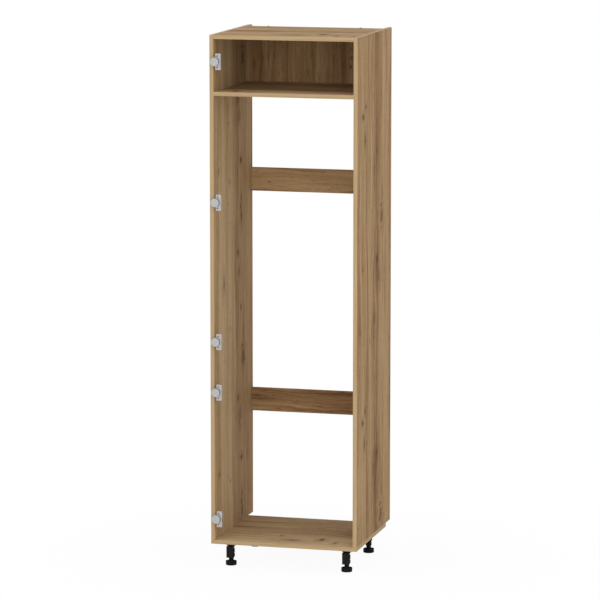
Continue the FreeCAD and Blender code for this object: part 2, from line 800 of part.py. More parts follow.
def main():
    os.makedirs("parts", exist_ok=True)
    save("edge_bands", edge_bands())
    join_to_sides()
    join_bottom()
    save("screw_caps", join_back())
    build_hinges()
    build_legs()
    for name, solids in fittings.items():
        save(name, solids)
    for name, solid in boards.items():
        save(name, [solid.cut(holes[name])])


main()
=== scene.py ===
# %% [markdown]
# # A tall oak cabinet for a built-in fridge
# The cabinet is a frame of coated boards on four black legs. Five bare hinges on its left side wait for
# their doors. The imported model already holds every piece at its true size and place, so this lesson gives
# the pieces their finish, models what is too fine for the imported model, and sets up a small white studio.

# %% Load the cabinet
import math

import bmesh
import bpy
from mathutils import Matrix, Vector


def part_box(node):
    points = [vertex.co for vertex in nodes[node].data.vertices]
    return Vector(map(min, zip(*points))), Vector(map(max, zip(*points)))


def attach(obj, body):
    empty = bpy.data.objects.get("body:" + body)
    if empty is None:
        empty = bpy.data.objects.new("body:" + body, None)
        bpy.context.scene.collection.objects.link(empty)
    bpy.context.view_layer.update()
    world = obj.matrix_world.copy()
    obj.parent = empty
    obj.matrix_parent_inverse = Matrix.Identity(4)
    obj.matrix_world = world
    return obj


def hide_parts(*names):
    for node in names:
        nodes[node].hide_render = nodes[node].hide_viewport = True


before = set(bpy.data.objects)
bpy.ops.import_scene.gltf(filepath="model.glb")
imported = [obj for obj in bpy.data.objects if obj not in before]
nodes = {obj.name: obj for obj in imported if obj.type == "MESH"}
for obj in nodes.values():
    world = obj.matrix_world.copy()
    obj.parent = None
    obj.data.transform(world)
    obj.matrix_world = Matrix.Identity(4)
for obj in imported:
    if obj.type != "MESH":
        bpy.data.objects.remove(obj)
scene = bpy.context.scene
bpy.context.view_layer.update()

# %% [markdown]
# ## Camera
# The cabinet was seen from its front right and from a little above, through a long lens that keeps its
# uprights nearly parallel. A camera can be turned by three angles or pointed at a spot. Pointing it is
# easier to read: a bearing, a height angle and a distance from the spot that it looks at.

# %% Camera
bearing = math.radians(14.926)
height_angle = math.radians(8.637)
distance = 14.765
look_at = Vector((-0.0052, 0.0, 1.0585))
away = Vector((
    math.sin(bearing) * math.cos(height_angle),
    -math.cos(bearing) * math.cos(height_angle),
    math.sin(height_angle),
))
lens = bpy.data.cameras.new("studio_camera")
lens.lens = 220.37
lens.sensor_width = 36.0
lens.clip_end = 100.0
camera = bpy.data.objects.new("studio_camera", lens)
camera.location = look_at + away * distance
camera.rotation_euler = (-away).to_track_quat("-Z", "Y").to_euler()
scene.collection.objects.link(camera)
scene.camera = camera
print("camera stands at", [round(v, 2) for v in camera.location])

# %% [markdown]
# ## Helpers for node trees
# Materials and studio light are built from nodes. Each node could be made and wired line by line, but then
# the wiring hides what the material does. So one function adds a node, sets it up and links what it reads.
# Colours are written as the hex values that a screen shows, while shaders work in linear light, so another
# function turns the first into the second.

# %% Helpers for node trees
def linear(hex_colour):
    """A screen colour such as B99F79 as linear red, green, blue and alpha."""
    channels = [int(hex_colour[i:i + 2], 16) / 255 for i in (0, 2, 4)]
    bent = [c / 12.92 if c <= 0.04045 else ((c + 0.055) / 1.055) ** 2.4 for c in channels]
    return (*bent, 1.0)


def add(tree, kind, reads=None, stops=(), **settings):
    """Adds one node. reads maps a socket's name or number to a value, a node or a node's output.

    stops are the (place, hex colour) pairs of a colour ramp, from its low end to its high end.
    """
    node = tree.nodes.new(kind)
    for name, value in settings.items():
        setattr(node, name, value)
    for key, value in (reads or {}).items():
        if isinstance(value, bpy.types.Node):
            value = value.outputs[0]
        if isinstance(value, bpy.types.NodeSocket):
            tree.links.new(value, node.inputs[key])
        else:
            node.inputs[key].default_value = value
    for _ in stops[2:]:
        node.color_ramp.elements.new(1.0)
    for number, (place, colour) in enumerate(stops):
        element = node.color_ramp.elements[number]
        element.position, element.color = place, linear(colour)
    return node


def gather(tree, values, operation):
    """Joins many values into one, by adding them or by taking the largest."""
    total = values[0]
    for value in values[1:]:
        total = add(tree, "ShaderNodeMath", {0: total, 1: value}, operation=operation)
    return total


def start_material(name):
    """A new material and its empty node tree."""
    material = bpy.data.materials.new(name)
    material.use_nodes = True
    material.node_tree.nodes.clear()
    return material, material.node_tree


print("one hex colour in linear light:", [round(v, 3) for v in linear("B99F79")])

# %% [markdown]
# ## White studio
# The photograph has a plain white ground. A bright world would wash the boards out, so the world is white
# only where the camera or a reflection looks straight at it. The light that it sheds on the cabinet is even
# over the front half of the room and fades behind the cabinet. One large soft lamp at the front adds a
# direction to it. The floor is white to the camera too, and keeps a faint shadow round the legs.

# %% World
front_ambient, rear_ambient = 1.18, 0.30
# How far back a direction points: 0 is straight to the side, 1 is straight behind the cabinet.
fade_start, fade_end = 0.0, 0.6
world = bpy.data.worlds.new("white_studio")
scene.world = world
world.use_nodes = True
tree = world.node_tree
tree.nodes.clear()
ray = add(tree, "ShaderNodeLightPath")
straight_looks = ("Is Camera Ray", "Is Glossy Ray", "Is Transmission Ray")
seen = gather(tree, [ray.outputs[look] for look in straight_looks], "MAXIMUM")
toward = add(tree, "ShaderNodeTexCoord")
toward = add(tree, "ShaderNodeSeparateXYZ", {0: toward.outputs["Generated"]})
ambient = add(tree, "ShaderNodeMapRange", {
    "Value": toward.outputs["Y"], "From Min": fade_start, "From Max": fade_end,
    "To Min": front_ambient, "To Max": rear_ambient,
})
level = add(tree, "ShaderNodeMapRange", {"Value": seen, "To Min": ambient, "To Max": 1.0})
sky = add(tree, "ShaderNodeBackground", {"Color": linear("FFFFFF"), "Strength": level})
add(tree, "ShaderNodeOutputWorld", {"Surface": sky})
scene.view_settings.view_transform = "Standard"
print("ambient levels, front and rear:", front_ambient, rear_ambient)

# %% Lamp
cabinet_middle = Vector((0.0, 0.0, 1.1))
lamp_place = Vector((3.2, -10.2, 2.6))
lamp = bpy.data.lights.new("front_lamp", "AREA")
lamp.shape = "SQUARE"
lamp.size = 7.0
lamp.energy = 230.0
lamp_stand = bpy.data.objects.new("front_lamp", lamp)
lamp_stand.location = lamp_place
lamp_stand.rotation_euler = (lamp_place - cabinet_middle).to_track_quat("Z", "Y").to_euler()
scene.collection.objects.link(lamp_stand)
print("lamp stands off by", round((lamp_place - cabinet_middle).length, 1), "m")

# %% Floor
floor_radius, floor_corners = 30.0, 64
floor_mesh = bpy.data.meshes.new("studio_floor")
floor_shape = bmesh.new()
bmesh.ops.create_circle(floor_shape, cap_ends=True, radius=floor_radius, segments=floor_corners)
floor_shape.to_mesh(floor_mesh)
floor_shape.free()
floor = bpy.data.objects.new("studio_floor", floor_mesh)
scene.collection.objects.link(floor)
print("floor radius in metres:", floor_radius)

# %% Floor paint
# Matt white paint. Close to the cabinet the camera sees a small share of it, and on it the shadow. Further
# off it sees plain white. Distances are metres from the cabinet's middle.
shadow_starts, shadow_gone, white_share = 0.4, 1.6, 0.95
floor_paint, tree = start_material("white_floor_paint")
spot = add(tree, "ShaderNodeTexCoord")
radius = add(tree, "ShaderNodeVectorMath", {0: spot.outputs["Object"]}, operation="LENGTH")
white = add(tree, "ShaderNodeMapRange", {
    "Value": radius.outputs["Value"], "From Min": shadow_starts, "From Max": shadow_gone,
    "To Min": white_share, "To Max": 1.0,
}, interpolation_type="SMOOTHSTEP")
ray = add(tree, "ShaderNodeLightPath")
white = add(tree, "ShaderNodeMath", {0: white, 1: ray.outputs["Is Camera Ray"]}, operation="MULTIPLY")
paint = add(tree, "ShaderNodeBsdfPrincipled", {
    "Base Color": linear("F4F4F4"), "Roughness": 0.9, "Specular IOR Level": 0.0,
})
glow = add(tree, "ShaderNodeEmission", {"Color": linear("FFFFFF"), "Strength": 1.0})
surface = add(tree, "ShaderNodeMixShader", {0: white, 1: paint, 2: glow})
add(tree, "ShaderNodeOutputMaterial", {"Surface": surface})
floor_mesh.materials.append(floor_paint)
print("shadow fades out between", shadow_starts, "and", shadow_gone, "m")

# %% [markdown]
# ## Oak print
# The boards are chipboard pressed between two sheets of printed paper set in melamine resin. The print
# shows knotty oak: long streaks that waver a little, fine dark pores, knots that push the fibres aside, and
# short cracks. A photograph of wood could be wrapped round the boards, but a rule stays sharp at any
# distance. So the rule is written in millimetres, in three directions: across the grain, along it and into
# the board. The paper comes from a printing roller, so its knots come back once for each turn.

# %% Cloudy noise in millimetres
MM = 1000.0


def place_in_mm(tree):
    """Where a point lies on the cabinet, in millimetres."""
    spot = add(tree, "ShaderNodeTexCoord")
    return add(tree, "ShaderNodeVectorMath", {0: spot.outputs["Object"], "Scale": MM}, operation="SCALE")


def pattern(tree, place, size, detail, roughness=0.55):
    """Cloudy noise whose patches measure about size millimetres in the three directions of place."""
    scaled = add(tree, "ShaderNodeVectorMath", {0: place, 1: [1 / s for s in size]}, operation="MULTIPLY")
    return add(tree, "ShaderNodeTexNoise", {
        "Vector": scaled, "Scale": 1.0, "Detail": detail, "Roughness": roughness,
    })


print("pattern units in a metre:", MM)

# %% Knots
roller_turn = 1221.0
endless = 9000.0
ragged_size, ragged_reach = (7.0, 20.0, 200.0), (14.0, 50.0, 0.0)
# A knot's swirl, core and halo each fade out between two distances, counted in the knot's half sizes.
swirl_fade, core_fade, halo_fade = (0.6, 4.0), (0.5, 1.2), (0.6, 3.0)
swirl_share, halo_share = 0.75, 0.35


def knot_field(tree, place, marks):
    """How far the knots push the fibres aside, in millimetres, and how dark they are, from 0 to 1."""
    ragged = pattern(tree, place, ragged_size, detail=3.0, roughness=0.65).outputs["Color"]
    ragged = add(tree, "ShaderNodeVectorMath", {0: ragged, 1: (0.5, 0.5, 0.5)}, operation="SUBTRACT")
    ragged = add(tree, "ShaderNodeVectorMath", {0: ragged, 1: ragged_reach, 2: place},
                 operation="MULTIPLY_ADD")
    far = (endless, roller_turn / 2, endless)
    pushes, darks = [], []
    for across, along, half_width, half_length, strength in marks:
        offset = add(tree, "ShaderNodeVectorMath", {0: ragged, 1: (across, along, 0.0)},
                     operation="SUBTRACT")
        offset = add(tree, "ShaderNodeVectorMath", {0: offset, 1: far, 2: [-f for f in far]},
                     operation="WRAP")
        shape = add(tree, "ShaderNodeVectorMath", {0: offset, 1: (1 / half_width, 1 / half_length, 0.0)},
                    operation="MULTIPLY")
        reach = add(tree, "ShaderNodeVectorMath", {0: shape}, operation="LENGTH").outputs["Value"]
        layers = (
            (swirl_fade, swirl_share, "SMOOTHSTEP"),
            (core_fade, strength, "SMOOTHSTEP"),
            (halo_fade, halo_share * strength, "LINEAR"),
        )
        swirl, core, halo = [
            add(tree, "ShaderNodeMapRange", {
                "Value": reach, "From Min": near, "From Max": gone, "To Min": peak, "To Max": 0.0,
            }, interpolation_type=fall)
            for (near, gone), peak, fall in layers
        ]
        sideways = add(tree, "ShaderNodeSeparateXYZ", {0: offset})
        pushes.append(add(tree, "ShaderNodeMath", {0: sideways, 1: swirl}, operation="MULTIPLY"))
        darks += [core, halo]
    return gather(tree, pushes, "ADD"), gather(tree, darks, "MAXIMUM")


print("knots come back every", roller_turn, "mm")

# %% Pin knots
twig_spacing = (75.0, 140.0, 400.0)
# A twig's knot fades out between two shares of that spacing. Few of the places have one.
twig_fade, twig_chance, twig_dark = (0.03, 0.085), (0.55, 0.9), 0.75


def pin_knots(tree, place):
    """Sparse knots of twigs, a few millimetres long, from 0 to 1."""
    scaled = add(tree, "ShaderNodeVectorMath", {0: place, 1: [1 / s for s in twig_spacing]},
                 operation="MULTIPLY")
    cells = add(tree, "ShaderNodeTexVoronoi", {"Vector": scaled, "Scale": 1.0})
    spot = add(tree, "ShaderNodeMapRange", {
        "Value": cells.outputs["Distance"], "From Min": twig_fade[0], "From Max": twig_fade[1],
        "To Min": 1.0, "To Max": 0.0,
    })
    chance = add(tree, "ShaderNodeSeparateColor", {0: cells.outputs["Color"]})
    kept = add(tree, "ShaderNodeMapRange", {
        "Value": chance, "From Min": twig_chance[0], "From Max": twig_chance[1], "To Max": twig_dark,
    })
    return add(tree, "ShaderNodeMath", {0: spot, 1: kept}, operation="MULTIPLY")


print("twigs lie about", twig_spacing[1], "mm apart along the grain")

# %% Streaks
patch_size, patch_range, patch_strength = (160.0, 260.0, 400.0), (0.3, 0.7), (0.7, 1.3)


def streaked_tone(tree, place, fibre, tone, streaks):
    """The board's tone with broad soft streaks along it, each darker or lighter by its own step."""
    across = add(tree, "ShaderNodeSeparateXYZ", {0: fibre})
    steps = []
    for middle, half_width, step in streaks:
        gap = add(tree, "ShaderNodeMath", {0: across, 1: middle}, operation="SUBTRACT")
        gap = add(tree, "ShaderNodeMath", {0: gap}, operation="ABSOLUTE")
        steps.append(add(tree, "ShaderNodeMapRange", {
            "Value": gap, "From Min": 0.0, "From Max": half_width, "To Min": step, "To Max": 0.0,
        }, interpolation_type="SMOOTHSTEP"))
    broad = gather(tree, steps, "ADD")
    strong = add(tree, "ShaderNodeMapRange", {
        "Value": pattern(tree, place, patch_size, detail=1.0), "From Min": patch_range[0],
        "From Max": patch_range[1], "To Min": patch_strength[0], "To Max": patch_strength[1],
    })
    return add(tree, "ShaderNodeMath", {0: broad, 1: strong, 2: tone}, operation="MULTIPLY_ADD")


print("streaks grow stronger and weaker over", patch_size[1], "mm")

# %% Fibres
sway_size, sway_reach = (110.0, 520.0, 400.0), 90.0
# Each layer of fibres has a size across, along and into the board, and a strength.
oak_fibres = (
    ((46.0, 1100.0, 90.0), 0.45),
    ((19.0, 700.0, 50.0), 0.7),
    ((7.0, 420.0, 30.0), 0.45),
    ((2.8, 170.0, 8.0), 0.34),
)
fleck_size, fleck_range, fleck_step = (4.5, 60.0, 20.0), (0.57, 0.72), -0.26


def wavering(tree, place, push):
    """The place measured along fibres that waver a little and bend round the knots."""
    sway = pattern(tree, place, sway_size, detail=2.0)
    sway = add(tree, "ShaderNodeMath", {0: sway, 1: sway_reach, 2: -sway_reach / 2},
               operation="MULTIPLY_ADD")
    sway = add(tree, "ShaderNodeMath", {0: sway, 1: push}, operation="SUBTRACT")
    sway = add(tree, "ShaderNodeCombineXYZ", {0: sway})
    return add(tree, "ShaderNodeVectorMath", {0: place, 1: sway}, operation="ADD")


def fibre_steps(tree, fibre, contrast):
    """Steps in tone, one from each layer of fibres and one from the dark flecks among them."""
    steps = []
    for size, strength in oak_fibres:
        depth = strength * contrast
        steps.append(add(tree, "ShaderNodeMath", {
            0: pattern(tree, fibre, size, detail=2.0), 1: depth, 2: -0.5 * depth,
        }, operation="MULTIPLY_ADD"))
    steps.append(add(tree, "ShaderNodeMapRange", {
        "Value": pattern(tree, fibre, fleck_size, detail=3.0), "From Min": fleck_range[0],
        "From Max": fleck_range[1], "To Max": fleck_step * contrast,
    }))
    return steps


print("fibre widths in mm:", [size[0] for size, _ in oak_fibres])

# %% Oak print
MIX_A, MIX_B, MIX_RESULT = 6, 7, 2  # a Mix node's sockets for colours
oak_tones = (
    (0.05, "4A321D"), (0.27, "77583A"), (0.45, "967550"),
    (0.58, "A68862"), (0.78, "B69A73"), (0.97, "C5AC87"),
)
pore_brown, knot_brown = "543B25", "52341A"
# Pores are about 0.3 mm wide. They are drawn 0.9 mm wide so that a close view shows them.
pore_size, pore_range, pore_dark = (0.9, 17.0, 2.0), (0.56, 0.70), 0.4


def oak_print(tree, place, tone, contrast, streaks, marks):
    """Colour and pores of the print at a place across the grain, along it and into the board."""
    push, knots = knot_field(tree, place, marks)
    fibre = wavering(tree, place, push)
    steps = [streaked_tone(tree, place, fibre, tone, streaks)] + fibre_steps(tree, fibre, contrast)
    colour = add(tree, "ShaderNodeValToRGB", {"Fac": gather(tree, steps, "ADD")}, stops=oak_tones)
    pores = add(tree, "ShaderNodeMapRange", {
        "Value": pattern(tree, fibre, pore_size, detail=1.0), "From Min": pore_range[0],
        "From Max": pore_range[1], "To Max": pore_dark,
    })
    knots = gather(tree, [knots, pin_knots(tree, fibre)], "MAXIMUM")
    colour = colour.outputs["Color"]
    for share, brown in ((pores, pore_brown), (knots, knot_brown)):
        mixed = add(tree, "ShaderNodeMix", {0: share, MIX_A: colour, MIX_B: linear(brown)},
                    data_type="RGBA")
        colour = mixed.outputs[MIX_RESULT]
    return colour, pores


print("oak tones:", len(oak_tones))

# %% [markdown]
# ## Coated boards
# Each board is a cut of that print: upright grain on the sides and the back, lying grain on the top, the
# shelf, the bottom and the rails. Both sides come off one stretch of the roll, the left one 600 mm further
# along. Their rear edges are bare chipboard, where pressed flakes show. Those faces could be picked one by
# one and given a second material. Here the face's direction tells the shader whether it meets the print or
# the bare core, so that one material does for a whole board.

# %% Chipboard
flake_length, flake_thickness = 4.0, 1.1


def chipboard(tree, place, thin):
    """Colour of a sawn chipboard edge: flat flakes that lie in the board's plane."""
    flakes = [1 / (flake_thickness if axis == thin else flake_length) for axis in "XYZ"]
    scaled = add(tree, "ShaderNodeVectorMath", {0: place, 1: flakes}, operation="MULTIPLY")
    cells = add(tree, "ShaderNodeTexVoronoi", {"Vector": scaled, "Scale": 1.0})
    grey = add(tree, "ShaderNodeSeparateColor", {0: cells.outputs["Color"]})
    return add(tree, "ShaderNodeValToRGB", {"Fac": grey}, stops=((0.0, "8A6C46"), (1.0, "D3B98D")))


print("flakes in mm:", flake_length, "by", flake_thickness)

# %% Board material
resin_rough, pore_rough = 0.85, 0.95
pore_depth = 0.0001


def board_material(name, grain, thin, cut, tone, contrast, streaks, marks):
    """Melamine-coated chipboard: matt, because the press plate leaves a faint texture in the resin."""
    material, tree = start_material(name)
    board_place = place_in_mm(tree)
    split = add(tree, "ShaderNodeSeparateXYZ", {0: board_place})
    axes = ["XYZ".replace(grain, "").replace(thin, ""), grain, thin]
    place = add(tree, "ShaderNodeCombineXYZ", {i: split.outputs[axis] for i, axis in enumerate(axes)})
    place = add(tree, "ShaderNodeVectorMath", {0: place, 1: (*cut, 0.0)}, operation="ADD")
    colour, pores = oak_print(tree, place, tone, contrast, streaks, marks)
    # The back and the rails turn a coated face to the rear, and the other boards a bare edge.
    if thin != "Y":
        facing = add(tree, "ShaderNodeNewGeometry")
        facing = add(tree, "ShaderNodeSeparateXYZ", {0: facing.outputs["True Normal"]})
        rearward = add(tree, "ShaderNodeMath", {0: facing.outputs["Y"], 1: 0.5}, operation="GREATER_THAN")
        core = chipboard(tree, board_place, thin)
        mixed = add(tree, "ShaderNodeMix", {0: rearward, MIX_A: colour, MIX_B: core}, data_type="RGBA")
        colour = mixed.outputs[MIX_RESULT]
    rough = add(tree, "ShaderNodeMapRange", {"Value": pores, "To Min": resin_rough, "To Max": pore_rough})
    relief = add(tree, "ShaderNodeBump", {"Height": pores, "Strength": 0.4, "Distance": pore_depth},
                 invert=True)
    surface = add(tree, "ShaderNodeBsdfPrincipled", {
        "Base Color": colour, "Roughness": rough, "Specular IOR Level": 0.22, "Normal": relief,
    })
    add(tree, "ShaderNodeOutputMaterial", {"Surface": surface})
    return material


print("roughness of the resin and of its pores:", resin_rough, pore_rough)

# %% Cuts of the print for the sides
# A streak is its middle, its half width and a step in tone. A mark is a knot or a crack: across, along,
# half width, half length and how dark. All lengths are millimetres.
upright_streaks = [
    (-245, 34, -0.05), (-195, 40, 0.07), (-105, 28, -0.08), (-58, 34, 0.07), (-14, 40, -0.07),
    (42, 60, -0.18), (215, 70, 0.05), (270, 26, -0.08),
]
upright_marks = [
    (-150, 1730, 12, 34, 0.7), (128, 1396, 20, 34, 0.7), (120, 1440, 24, 9, 0.55),
    (122, 1378, 24, 9, 0.55), (134, 1500, 9, 40, 0.5), (50, 1235, 12, 16, 0.8),
    (81, 1164, 26, 38, 0.45), (-228, 969, 9, 9, 0.6), (-67, 2133, 9, 9, 0.5),
]
# On the left side, two broad steps are painted light and shade: the front two thirds are lighter and the
# rear third darker. The other steps are streaks of the print.
left_streaks_and_painted_light = upright_streaks + [(-70, 190, 0.16), (-170, 80, 0.05), (2, 50, 0.05), (195, 130, -0.10)]
left_marks = upright_marks + [
    (98, 983, 14, 12, 0.95), (106, 2050, 9, 20, 0.7), (99, 2015, 11, 18, 0.75), (106, 1974, 12, 26, 0.75),
    (52, 1831, 9, 14, 0.8), (68, 1753, 24, 26, 0.4), (95, 1603, 11, 12, 0.7), (-66, 1534, 8, 9, 0.5),
]
right_marks = upright_marks + [
    (-138, 1861, 13, 12, 0.7), (-181, 1821, 19, 14, 0.85), (14, 992, 11, 24, 0.75),
    (-186, 1216, 10, 10, 0.5), (5, 1597, 11, 36, 0.55), (50, 1664, 10, 18, 0.5),
]
print("marks on the left and right side:", len(left_marks), len(right_marks))

# %% Cuts of the print for the other boards
lying_streaks = [(-60, 60, -0.16), (5, 36, -0.11), (-215, 130, 0.22), (120, 60, 0.02), (-235, 25, -0.05)]
lying_marks = [
    (-128, -45, 12, 8, 0.7), (-165, 131, 22, 13, 0.95), (-214, 195, 16, 9, 0.75), (-200, 16, 16, 44, 0.6),
    (34, 6, 6, 18, 0.6), (34, 76, 6, 24, 0.65), (30, 196, 6, 22, 0.65), (4, -240, 10, 60, 0.55),
]
top_streaks = [(-25, 60, -0.16), (-125, 45, 0.07), (110, 80, 0.05), (-215, 30, -0.10), (60, 30, -0.06)]
top_marks = [
    (-150, 130, 24, 13, 0.95), (-203, 196, 18, 9, 0.75), (-40, -240, 12, 60, 0.5), (-20, -120, 8, 40, 0.4),
    (20, 90, 7, 30, 0.5), (-210, 20, 14, 40, 0.4), (80, -60, 6, 24, 0.4),
]
back_streaks = [(-240, 50, -0.12), (-114, 24, -0.12), (10, 40, 0.08), (130, 60, -0.06)]
back_marks = [
    (157, 2054, 5, 5, 0.8), (157, 2019, 5, 6, 0.8), (154, 1984, 5, 6, 0.8), (-250, 1990, 5, 20, 0.5),
]
low_rail_streaks = [(632, 14, -0.08), (556, 14, -0.08), (600, 20, 0.03)]
low_rail_marks = [(610, -262, 6, 50, 0.5), (598, -250, 3, 40, 0.5), (575, 120, 2.5, 20, 0.3)]
high_rail_streaks = [(1548, 14, -0.06), (1468, 14, -0.06), (1510, 24, 0.04)]
high_rail_marks = [(1490, 140, 2.5, 24, 0.35), (1530, -120, 2.5, 20, 0.3)]
print("marks on the top and bottom:", len(top_marks), len(lying_marks))

# %% Coated boards
def finish(material, names):
    """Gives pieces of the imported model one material."""
    for name in names:
        nodes[name].data.materials.clear()
        nodes[name].data.materials.append(material)


# Grain, thin direction, shift across and along the print, tone, contrast, streaks and marks of each board.
# Each tone is partly the print's own and partly painted light and shade: the boards share one print, but
# each gets a tone of its own to stand in for the light and shade it sits in, the left side far lighter than
# the right side and the lower rail far darker than the upper one.
boards = {
    "side_panel_left": ("Z", "X", (-17.0, 600.0), 0.69, 0.9, left_streaks_and_painted_light, left_marks),
    "side_panel_right": ("Z", "X", (0.0, 0.0), 0.54, 0.98, upright_streaks, right_marks),
    "bottom_panel": ("X", "Z", (0.0, 0.0), 0.70, 1.15, lying_streaks, lying_marks),
    "top_panel": ("X", "Z", (0.0, 0.0), 0.64, 1.5, top_streaks, top_marks),
    "fixed_shelf": ("X", "Z", (60.0, 340.0), 0.60, 0.8, lying_streaks, lying_marks),
    "back_panel": ("Z", "Y", (0.0, 0.0), 0.515, 0.8, back_streaks, back_marks),
    "lower_rear_rail": ("X", "Y", (0.0, 0.0), 0.40, 0.8, low_rail_streaks, low_rail_marks),
    "upper_rear_rail": ("X", "Y", (0.0, 0.0), 0.575, 0.75, high_rail_streaks, high_rail_marks),
}
for name, cut in boards.items():
    finish(board_material("oak_print_melamine_" + name, *cut), [name])
print("boards finished:", len(boards))

# %% [markdown]
# ## Geometry trees
# Edge strips and screw threads follow a rule along a line, which is what Geometry Nodes are good at. Three
# helpers keep the lesson short: one starts an empty tree with named sizes, one ends it, and one runs a tree
# on a mesh and keeps the result as a plain mesh, so that nothing live is left on the piece.

# %% Helpers for geometry trees
def start_tree(name, sizes):
    """A geometry tree with a named number for each size. Returns it with its input and output nodes."""
    tree = bpy.data.node_groups.new(name, "GeometryNodeTree")
    tree.interface.new_socket("Geometry", in_out="INPUT", socket_type="NodeSocketGeometry")
    tree.interface.new_socket("Geometry", in_out="OUTPUT", socket_type="NodeSocketGeometry")
    for size in sizes:
        tree.interface.new_socket(size, in_out="INPUT", socket_type="NodeSocketFloat")
    return tree, add(tree, "NodeGroupInput"), add(tree, "NodeGroupOutput")


def end_tree(tree, result, geometry, material):
    """Makes the result plain geometry with one material."""
    plain = add(tree, "GeometryNodeRealizeInstances", {"Geometry": geometry})
    coated = add(tree, "GeometryNodeSetMaterial", {"Geometry": plain, "Material": material})
    tree.links.new(coated.outputs[0], result.inputs["Geometry"])


def grow(name, mesh, tree, sizes):
    """Runs a geometry tree on a mesh and returns an object that holds the outcome as a plain mesh."""
    piece = bpy.data.objects.new(name, mesh)
    scene.collection.objects.link(piece)
    modifier = piece.modifiers.new("grow", "NODES")
    modifier.node_group = tree
    for socket in tree.interface.items_tree:
        if socket.in_out == "INPUT" and socket.name in sizes:
            modifier[socket.identifier] = sizes[socket.name]
    graph = bpy.context.evaluated_depsgraph_get()
    grown = bpy.data.meshes.new_from_object(piece.evaluated_get(graph), preserve_all_data_layers=True,
                                            depsgraph=graph)
    piece.modifiers.clear()
    piece.data = grown
    grown.name = name
    return piece


print("geometry helpers ready")

# %% [markdown]
# ## Edge strips
# The bare edges that show wear strips of extruded ABS, 0.8 mm thick, printed with straight oak grain and
# paler than the boards: the front edges, the tops of the sides and the ends of the bottom. After gluing, a
# scraper rounds their corners. A strip could be a box with a bevel, but its print has to follow its length.
# So each strip is swept along its edge with a profile that is round on the outer side only. The mesh of
# lines carries the direction that each strip faces, and the sweep notes how far along and across the strip
# each point lies, so that the grain follows the strip and not the cabinet.

# %% Edge strip material
broad_share, fine_share = 0.6, 0.4
broad_size = (9.0, 420.0, 100.0)
# The printed lines are about 0.4 mm wide. They are drawn 1.6 mm wide so that they show.
fine_size, fine_depth = (1.6, 130.0, 100.0), 0.00005
strip_tones = ((0.25, "9A825F"), (0.5, "AB926D"), (0.75, "BAA27D"))


def edge_strip_material():
    """Extruded, printed ABS: satin, with fine straight streaks along the strip."""
    material, tree = start_material("oak_print_abs")
    noted = add(tree, "ShaderNodeAttribute", attribute_name="strip_place")
    place = add(tree, "ShaderNodeVectorMath", {0: noted.outputs["Vector"], "Scale": MM}, operation="SCALE")
    broad = pattern(tree, place, broad_size, detail=2.0)
    fine = pattern(tree, place, fine_size, detail=2.0)
    tone = add(tree, "ShaderNodeMath", {0: broad, 1: broad_share}, operation="MULTIPLY")
    tone = add(tree, "ShaderNodeMath", {0: fine, 1: fine_share, 2: tone}, operation="MULTIPLY_ADD")
    colour = add(tree, "ShaderNodeValToRGB", {"Fac": tone}, stops=strip_tones)
    relief = add(tree, "ShaderNodeBump", {"Height": fine, "Strength": 0.2, "Distance": fine_depth})
    surface = add(tree, "ShaderNodeBsdfPrincipled", {
        "Base Color": colour, "Roughness": 0.5, "IOR": 1.53, "Specular IOR Level": 0.08, "Normal": relief,
    })
    add(tree, "ShaderNodeOutputMaterial", {"Surface": surface})
    return material


edge_abs = edge_strip_material()
print("strip material:", edge_abs.name)

# %% Line of the sweep
strip_tree, given, result = start_tree("edge_strip_sweep", ("Width", "Thickness", "Rounding"))
line = add(strip_tree, "GeometryNodeMeshToCurve", {"Mesh": given.outputs["Geometry"]})
outward = add(strip_tree, "GeometryNodeInputNamedAttribute", {"Name": "outward"}, data_type="FLOAT_VECTOR")
line = add(strip_tree, "GeometryNodeSetCurveNormal", {"Curve": line, "Normal": outward}, mode="FREE")
run = add(strip_tree, "GeometryNodeSplineParameter")
# Two points make a line, so half a point's number, rounded down, tells the strips' prints apart.
number = add(strip_tree, "GeometryNodeInputIndex")
number = add(strip_tree, "ShaderNodeMath", {0: number, 1: 0.5}, operation="MULTIPLY")
number = add(strip_tree, "ShaderNodeMath", {0: number}, operation="FLOOR")
noted = add(strip_tree, "ShaderNodeCombineXYZ", {"Y": run.outputs["Length"], "Z": number})
line = add(strip_tree, "GeometryNodeStoreNamedAttribute", {"Geometry": line, "Name": "run", "Value": noted},
           data_type="FLOAT_VECTOR", domain="POINT")
print("nodes so far:", len(strip_tree.nodes))

# %% Profile of the sweep
corner_steps = 4
outline = add(strip_tree, "GeometryNodeCurvePrimitiveQuadrilateral",
              {"Width": given.outputs["Thickness"], "Height": given.outputs["Width"]})
spot = add(strip_tree, "GeometryNodeInputPosition")
sides = add(strip_tree, "ShaderNodeSeparateXYZ", {0: spot})
at_front = add(strip_tree, "ShaderNodeMath", {0: sides.outputs["X"], 1: 0.0}, operation="GREATER_THAN")
corner = add(strip_tree, "ShaderNodeMath", {0: at_front, 1: given.outputs["Rounding"]},
             operation="MULTIPLY")
outline = add(strip_tree, "GeometryNodeFilletCurve",
              {"Curve": outline, "Radius": corner, "Count": corner_steps}, mode="POLY")
noted = add(strip_tree, "ShaderNodeCombineXYZ", {"X": sides.outputs["Y"]})
outline = add(strip_tree, "GeometryNodeStoreNamedAttribute",
              {"Geometry": outline, "Name": "rim", "Value": noted}, data_type="FLOAT_VECTOR",
              domain="POINT")
swept = add(strip_tree, "GeometryNodeCurveToMesh",
            {"Curve": line, "Profile Curve": outline, "Fill Caps": True})
along_strip, across_strip = [
    add(strip_tree, "GeometryNodeInputNamedAttribute", {"Name": name}, data_type="FLOAT_VECTOR")
    for name in ("run", "rim")
]
place = add(strip_tree, "ShaderNodeVectorMath", {0: along_strip, 1: across_strip}, operation="ADD")
swept = add(strip_tree, "GeometryNodeStoreNamedAttribute",
            {"Geometry": swept, "Name": "strip_place", "Value": place}, data_type="FLOAT_VECTOR",
            domain="POINT")
end_tree(strip_tree, result, swept, edge_abs)
print("nodes in the strip tree:", len(strip_tree.nodes))

